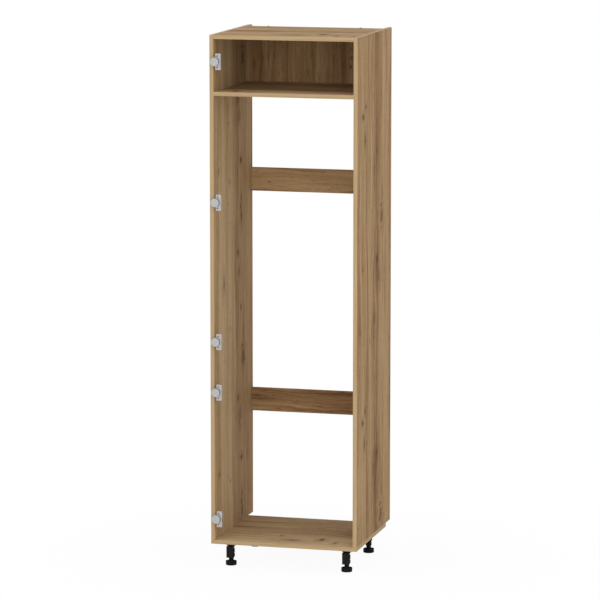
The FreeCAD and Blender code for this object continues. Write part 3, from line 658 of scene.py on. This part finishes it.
# %% Lines of the edge strips
X, Y, Z = range(3)
band_low, band_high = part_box("edge_bands")
board_low, board_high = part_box("top_panel")
strip = board_low.y - band_low.y
forward, upward = Vector((0.0, -1.0, 0.0)), Vector((0.0, 0.0, 1.0))
runs = []


def edge_run(name, along, outward, start=None, stop=None):
    """Notes a strip's middle line on one edge of a board, with its ends and the way it faces."""
    low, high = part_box(name)
    middle = (low + high) / 2
    out = max((X, Y, Z), key=lambda axis: abs(outward[axis]))
    face = band_high[out] if outward[out] > 0 else band_low[out]
    middle[out] = face - outward[out] * strip / 2
    ends = [middle.copy(), middle.copy()]
    ends[0][along] = low[along] if start is None else start
    ends[1][along] = high[along] if stop is None else stop
    runs.append((ends, outward))


for side in ("side_panel_left", "side_panel_right"):
    edge_run(side, Z, forward, stop=band_high.z)
    edge_run(side, Y, upward)
for sign in (-1.0, 1.0):
    edge_run("bottom_panel", Y, Vector((sign, 0.0, 0.0)))
edge_run("bottom_panel", X, forward, start=band_low.x, stop=band_high.x)
for board in ("top_panel", "fixed_shelf"):
    edge_run(board, X, forward)
print("lines:", len(runs), "strip thickness in mm:", round(strip * MM, 2))

# %% Edge strips
points = [end for ends, _ in runs for end in ends]
lines = [(2 * i, 2 * i + 1) for i in range(len(runs))]
strip_lines = bpy.data.meshes.new("strip_lines")
strip_lines.from_pydata(points, lines, [])
facing = strip_lines.attributes.new("outward", "FLOAT_VECTOR", "POINT")
for (first, last), (_, outward) in zip(lines, runs):
    facing.data[first].vector = facing.data[last].vector = outward
strip_measures = {"Width": board_high.z - board_low.z, "Thickness": strip, "Rounding": 0.0006}
edge_strips = grow("edge_strips", strip_lines, strip_tree, strip_measures)
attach(edge_strips, "carcass")
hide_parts("edge_bands")
print("edge strips:", len(runs), "with", len(edge_strips.data.polygons), "faces")

# %% [markdown]
# ## Metals
# The hinges are pressed from steel sheet and plated with satin nickel; pins and screws are steel with a
# thin zinc coat, and the cam housings and the hinges' plates are cast zinc, whose darker tint on the plates
# is in part painted shade, for the shade seen through the holes of the cups' flanges. What tells such
# metals apart is how cloudy the surface is, so a soft pattern varies tint and gloss. Pins and screws are
# plain metal to the shader. A plain metal only mirrors its surroundings, and a hinge would mirror the dark
# inside of the cabinet, while the real coat is dull enough to scatter light. So nickel and cast zinc are
# made partly metallic.

# %% Metal materials
metal_gloss_swing = 0.1
# Painted shade on faces of a cup that turn sideways, fading out as a face turns to look forward.
painted_shade_turn = (0.3, 0.9)  # how squarely a face of a cup looks forward, from its wall to its flange


def metal(name, tints, rough, cloud_mm, metallic=1.0, painted_shade_brightness=1.0):
    """A plated or cast metal whose tint and gloss vary in soft clouds of about cloud_mm millimetres.

    A share below 1 makes faces that turn sideways, as the side of a cup does, keep only that share of their
    brightness: painted shade for the shade that these sides lie in.
    """
    material, tree = start_material(name)
    clouds = pattern(tree, place_in_mm(tree), (cloud_mm,) * 3, detail=4.0)
    tint = add(tree, "ShaderNodeValToRGB", {"Fac": clouds}, stops=((0.0, tints[0]), (1.0, tints[1])))
    if painted_shade_brightness < 1.0:
        facing = add(tree, "ShaderNodeTexCoord")
        facing = add(tree, "ShaderNodeSeparateXYZ", {0: facing.outputs["Normal"]})
        facing = add(tree, "ShaderNodeMath", {0: facing.outputs["Y"]}, operation="ABSOLUTE")
        kept = add(tree, "ShaderNodeMapRange", {
            "Value": facing, "From Min": painted_shade_turn[0], "From Max": painted_shade_turn[1], "To Min": painted_shade_brightness,
        })
        tint = add(tree, "ShaderNodeVectorMath", {0: tint, "Scale": kept}, operation="SCALE")
    gloss = add(tree, "ShaderNodeMapRange", {
        "Value": clouds, "To Min": rough - metal_gloss_swing, "To Max": rough + metal_gloss_swing,
    })
    surface = add(tree, "ShaderNodeBsdfPrincipled", {
        "Base Color": tint, "Roughness": gloss, "Metallic": metallic,
    })
    add(tree, "ShaderNodeOutputMaterial", {"Surface": surface})
    return material


nickel = metal("satin_nickel_plate", ("AAAAA8", "BABAB8"), rough=0.45, cloud_mm=6.0, metallic=0.5)
# The sides of the cups keep half their brightness: painted shade for the shade beside their flanges.
cup_nickel_with_painted_shade = metal("nickel_plate_with_painted_shade", ("A9A9A7", "B9B9B7"), rough=0.45, cloud_mm=6.0, metallic=0.5,
                   painted_shade_brightness=0.5)
zinc_plate = metal("zinc_plate", ("9C9E9E", "BDBFC0"), rough=0.42, cloud_mm=2.0)
# These tints are set darker in part as painted shade, for the shade in which the hinges' plates show
# through the cups' holes.
cast_zinc_with_painted_shade = metal("cast_zinc_with_painted_shade", ("868787", "A9AAAA"), rough=0.5, cloud_mm=1.2, metallic=0.7)
print("metals:", [material.name for material in (nickel, cup_nickel_with_painted_shade, zinc_plate, cast_zinc_with_painted_shade)])

# %% [markdown]
# ## Plastics and beech
# Legs and plinth clips are moulded from black polypropylene with a faintly grained skin. The two caps on
# the top are brown polyethylene. The dowels are turned beech with small darker flecks. One flat colour each
# would look like paint from close by, so a fine noise drives tint, gloss and relief of a plastic together,
# as the grain of a mould does.

# %% Plastic materials
plastic_gloss_swing, grain_depth = 0.08, 0.0001


def moulded_plastic(name, tints, grain_mm, rough):
    """Moulded plastic: an even colour with the fine grain that the mould leaves on it."""
    material, tree = start_material(name)
    grain = pattern(tree, place_in_mm(tree), (grain_mm,) * 3, detail=3.0)
    tint = add(tree, "ShaderNodeValToRGB", {"Fac": grain}, stops=((0.0, tints[0]), (1.0, tints[1])))
    gloss = add(tree, "ShaderNodeMapRange", {
        "Value": grain, "To Min": rough - plastic_gloss_swing, "To Max": rough + plastic_gloss_swing,
    })
    relief = add(tree, "ShaderNodeBump", {"Height": grain, "Strength": 0.2, "Distance": grain_depth})
    surface = add(tree, "ShaderNodeBsdfPrincipled", {
        "Base Color": tint, "Roughness": gloss, "IOR": 1.49, "Specular IOR Level": 0.22, "Normal": relief,
    })
    add(tree, "ShaderNodeOutputMaterial", {"Surface": surface})
    return material


# The grain of a mould is about 0.2 mm wide. It is drawn two to four times as wide so that it shows.
black_plastic = moulded_plastic("black_polypropylene", ("050505", "0D0D0C"), grain_mm=0.5, rough=0.55)
brown_plastic = moulded_plastic("brown_polyethylene", ("7D6244", "8F7352"), grain_mm=0.8, rough=0.55)
print("plastics:", black_plastic.name, brown_plastic.name)

# %% Beech material
# Turned beech: pale and matt, with short brown flecks along the grain.
beech_fleck = (3.0, 1.0, 1.0)
beech, tree = start_material("turned_beech")
flecks = pattern(tree, place_in_mm(tree), beech_fleck, detail=3.0)
tint = add(tree, "ShaderNodeValToRGB", {"Fac": flecks}, stops=((0.0, "B08A5C"), (1.0, "D9BC90")))
surface = add(tree, "ShaderNodeBsdfPrincipled", {"Base Color": tint, "Roughness": 0.65})
add(tree, "ShaderNodeOutputMaterial", {"Surface": surface})
print("dowels:", beech.name)

# %% Give the hardware its finish
hinge_numbers = range(1, 6)
leg_places = [f"{depth}_{side}" for depth in ("front", "rear") for side in ("left", "right")]
arms = [f"hinge_{n}_arm" for n in hinge_numbers]
links = [f"hinge_{n}_{piece}" for n in hinge_numbers for piece in ("outer_link", "inner_link")]
cups = [f"hinge_{n}_cup" for n in hinge_numbers]
pins = [f"hinge_{n}_cup_pins" for n in hinge_numbers] + ["hinge_arm_pins"]
hinge_screws = ["hinge_plate_screws", "hinge_arm_screws"]
screws = ["bottom_screws", "back_panel_screws", "leg_screws", "cam_bolts"]
sockets = [f"leg_{place}_socket" for place in leg_places]
columns = [f"leg_{place}_column" for place in leg_places]
feet = [f"leg_{place}_foot" for place in leg_places]
clips = ["plinth_clip_left", "plinth_clip_right"]
finishes = (
    (nickel, arms + links),
    (cup_nickel_with_painted_shade, cups),
    (zinc_plate, pins + hinge_screws + screws),
    (cast_zinc_with_painted_shade, ["cam_housings", "hinge_mounting_plates"]),
    (black_plastic, sockets + columns + feet + clips),
    (brown_plastic, ["screw_caps"]),
    (beech, ["dowels"]),
)
for material, names in finishes:
    finish(material, names)
print("hardware finished:", sum(len(names) for _, names in finishes), "nodes")

# %% [markdown]
# ## Softened edges
# No pressed or moulded piece has a knife edge: a die or a mould leaves corners of a few tenths of a
# millimetre, which catch the light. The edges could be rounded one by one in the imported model. A Bevel
# modifier is lighter and rounds every sharp edge alike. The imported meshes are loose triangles, so a Weld
# modifier joins them first. The hinges' arms are left as they are, because a bevel throws up spikes where
# their lofted faces meet at a point.

# %% Softened edges
sharp_angle = math.radians(35.0)
same_point = 1e-6
socket_round, column_round, sheet_round = 0.0003, 0.00012, 0.0002


def soften(names, width):
    """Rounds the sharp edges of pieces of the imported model."""
    for name in names:
        weld = nodes[name].modifiers.new("join_triangles", "WELD")
        weld.merge_threshold = same_point
        bevel = nodes[name].modifiers.new("soft_edges", "BEVEL")
        bevel.width = width
        bevel.segments = 2
        bevel.limit_method = "ANGLE"
        bevel.angle_limit = sharp_angle
        bevel.use_clamp_overlap = False


soften(sockets + clips, socket_round)
soften(columns, column_round)
soften(links + cups + hinge_screws + ["hinge_mounting_plates"], sheet_round)
print("softened:", sum(1 for node in nodes.values() if node.modifiers), "nodes")

# %% [markdown]
# ## Threaded feet
# Each foot is one moulding: a dish that grips the floor, a hub, and a stem with a coarse thread that turns
# in the leg's column. A thread could be a small profile swept along a helix. Here a flat grid is rolled
# into a tube instead, and its radius rises and falls with height and angle, so that stem and thread are
# one closed skin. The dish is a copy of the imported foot, cut off just above its hub.

# %% Shape of the thread
turn_points, rings_per_turn = 40, 8
stem_start, stem_length, thread_pitch = 0.014, 0.050, 0.003
flat_crest, root = 0.12, 0.36  # distances from the middle of a crest, as shares of the pitch
rings = round(stem_length / thread_pitch * rings_per_turn) + 1
stem_sizes = ("Core", "Ridge", "Pitch", "Length", "Start", "Middle X", "Middle Y")
stem_tree, given, result = start_tree("threaded_stem", stem_sizes)
core, ridge, pitch, length, start, middle_x, middle_y = [given.outputs[size] for size in stem_sizes]
grid = add(stem_tree, "GeometryNodeMeshGrid",
           {"Size X": 1.0, "Size Y": 1.0, "Vertices X": turn_points + 1, "Vertices Y": rings})
spot = add(stem_tree, "GeometryNodeInputPosition")
spot = add(stem_tree, "ShaderNodeSeparateXYZ", {0: spot})
share = add(stem_tree, "ShaderNodeMath", {0: spot.outputs["Y"], 1: 0.5}, operation="ADD")
up = add(stem_tree, "ShaderNodeMath", {0: share, 1: length}, operation="MULTIPLY")
turns = add(stem_tree, "ShaderNodeMath", {0: up, 1: pitch}, operation="DIVIDE")
turns = add(stem_tree, "ShaderNodeMath", {0: turns, 1: spot.outputs["X"]}, operation="SUBTRACT")
turns = add(stem_tree, "ShaderNodeMath", {0: turns}, operation="FRACT")
from_crest = add(stem_tree, "ShaderNodeMath", {0: turns, 1: 0.5}, operation="SUBTRACT")
from_crest = add(stem_tree, "ShaderNodeMath", {0: from_crest}, operation="ABSOLUTE")
crest = add(stem_tree, "ShaderNodeMapRange", {
    "Value": from_crest, "From Min": flat_crest, "From Max": root, "To Min": 1.0, "To Max": 0.0,
})
from_top = add(stem_tree, "ShaderNodeMath", {0: length, 1: up}, operation="SUBTRACT")
from_end = add(stem_tree, "ShaderNodeMath", {0: up, 1: from_top}, operation="MINIMUM")
lead_in = add(stem_tree, "ShaderNodeMapRange", {"Value": from_end, "From Max": pitch})
crest = add(stem_tree, "ShaderNodeMath", {0: crest, 1: lead_in}, operation="MULTIPLY")
radius = add(stem_tree, "ShaderNodeMath", {0: crest, 1: ridge, 2: core}, operation="MULTIPLY_ADD")
print("rings along a stem:", rings)

# %% Tube and caps
angle = add(stem_tree, "ShaderNodeMath", {0: spot.outputs["X"], 1: 2 * math.pi}, operation="MULTIPLY")
cosine = add(stem_tree, "ShaderNodeMath", {0: angle}, operation="COSINE")
sine = add(stem_tree, "ShaderNodeMath", {0: angle}, operation="SINE")
rolled_x = add(stem_tree, "ShaderNodeMath", {0: cosine, 1: radius, 2: middle_x}, operation="MULTIPLY_ADD")
rolled_y = add(stem_tree, "ShaderNodeMath", {0: sine, 1: radius, 2: middle_y}, operation="MULTIPLY_ADD")
rolled_z = add(stem_tree, "ShaderNodeMath", {0: up, 1: start}, operation="ADD")
rolled = add(stem_tree, "ShaderNodeCombineXYZ", {0: rolled_x, 1: rolled_y, 2: rolled_z})
stem = add(stem_tree, "GeometryNodeSetPosition", {"Geometry": grid, "Position": rolled})
stem = add(stem_tree, "GeometryNodeSetShadeSmooth", {"Geometry": stem, "Shade Smooth": True})
disc = add(stem_tree, "GeometryNodeMeshCircle", {"Vertices": turn_points, "Radius": core}, fill_type="NGON")
top_z = add(stem_tree, "ShaderNodeMath", {0: start, 1: length}, operation="ADD")
closed = add(stem_tree, "GeometryNodeJoinGeometry", {0: stem})
for height in (start, top_z):
    place = add(stem_tree, "ShaderNodeCombineXYZ", {0: middle_x, 1: middle_y, 2: height})
    cap = add(stem_tree, "GeometryNodeTransform", {"Geometry": disc, "Translation": place})
    stem_tree.links.new(cap.outputs[0], closed.inputs[0])
closed = add(stem_tree, "GeometryNodeMergeByDistance", {"Geometry": closed, "Distance": same_point})
foot = add(stem_tree, "GeometryNodeJoinGeometry", {0: closed})
stem_tree.links.new(given.outputs["Geometry"], foot.inputs[0])
end_tree(stem_tree, result, foot, black_plastic)
print("nodes in the stem tree:", len(stem_tree.nodes))

# %% Dish of a foot
hub_top, collar = 0.019, 0.0003


def dish_below_stem(name):
    """A merged copy of a packed foot without its plain stem."""
    dish = bmesh.new()
    dish.from_mesh(nodes[name].data)
    bmesh.ops.remove_doubles(dish, verts=dish.verts, dist=same_point)
    everything = dish.verts[:] + dish.edges[:] + dish.faces[:]
    bmesh.ops.bisect_plane(dish, geom=everything, plane_co=(0.0, 0.0, hub_top + collar),
                           plane_no=(0.0, 0.0, 1.0), clear_outer=True)
    bmesh.ops.contextual_create(dish, geom=[edge for edge in dish.edges if edge.is_boundary])
    bmesh.ops.recalc_face_normals(dish, faces=dish.faces)
    mesh = bpy.data.meshes.new("dish_" + name)
    dish.to_mesh(mesh)
    dish.free()
    return mesh


print("dishes are cut", round((hub_top + collar) * MM, 1), "mm above the floor")

# %% Threaded feet
CUBIC_CM = 1e6
stem_measures = {
    "Core": 0.0091, "Ridge": 0.00085, "Pitch": thread_pitch, "Length": stem_length, "Start": stem_start,
}
for place in leg_places:
    name = f"leg_{place}_foot"
    low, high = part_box(name)
    middle = (low + high) / 2
    measures = {**stem_measures, "Middle X": middle.x, "Middle Y": middle.y}
    foot = grow(f"threaded_foot_{place}", dish_below_stem(name), stem_tree, measures)
    skin = bmesh.new()
    skin.from_mesh(foot.data)
    bmesh.ops.recalc_face_normals(skin, faces=skin.faces)
    open_edges = sum(1 for edge in skin.edges if not edge.is_manifold)
    volume = round(skin.calc_volume() * CUBIC_CM, 2)
    print(foot.name, "faces:", len(skin.faces), "open edges:", open_edges, "cm3:", volume)
    skin.to_mesh(foot.data)
    skin.free()
    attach(foot, f"leg_{place}_foot")
    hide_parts(name)
